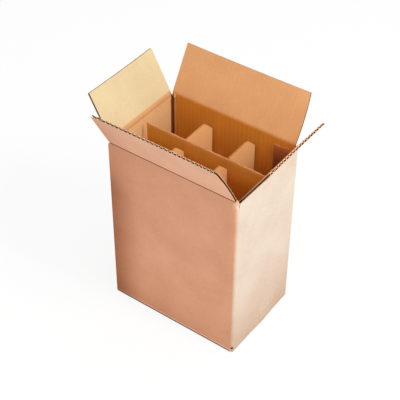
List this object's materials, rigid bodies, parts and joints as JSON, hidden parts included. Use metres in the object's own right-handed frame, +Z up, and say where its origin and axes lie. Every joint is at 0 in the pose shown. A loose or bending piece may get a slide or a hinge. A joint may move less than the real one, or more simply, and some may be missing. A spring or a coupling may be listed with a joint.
{
  "type": "bottle shipping box",
  "caption": "Plain corrugated carton with open hinged top flaps and a slotted divider insert that makes bottle cells.",
  "frame": {"origin": "middle of the underside, on the surface that the carton stands on", "axes": "+Z up, X along the long sides, -Y is the front"},
  "size_m": [0.3351, 0.2515, 0.4135],
  "materials": {
    "carton_board": "matte kraft liner",
    "divider_board": "matte kraft board"
  },
  "bodies": {
    "carton": {"carton": "carton_board", "long_divider": "divider_board", "cross_divider_left": "divider_board", "cross_divider_right": "divider_board"},
    "front_flap": {"front_flap": "carton_board"},
    "right_flap": {"right_flap": "carton_board"},
    "back_flap": {"back_flap": "carton_board"},
    "left_flap": {"left_flap": "carton_board"}
  },
  "joints": [
    {"name": "front_flap_hinge", "type": "hinge", "parent": "carton", "child": "front_flap", "pos_m": [0, -0.085, 0.337], "axis": [1, 0, 0], "range_deg": [-117.9, 144.1]},
    {"name": "right_flap_hinge", "type": "hinge", "parent": "carton", "child": "right_flap", "pos_m": [0.125, 0, 0.3327], "axis": [0, 1, 0], "range_deg": [-122, 140]},
    {"name": "back_flap_hinge", "type": "hinge", "parent": "carton", "child": "back_flap", "pos_m": [0, 0.085, 0.337], "axis": [-1, 0, 0], "range_deg": [-119.8, 142.2]},
    {"name": "left_flap_hinge", "type": "hinge", "parent": "carton", "child": "left_flap", "pos_m": [-0.125, 0, 0.3327], "axis": [0, -1, 0], "range_deg": [-118.5, 143.5]}
  ]
}
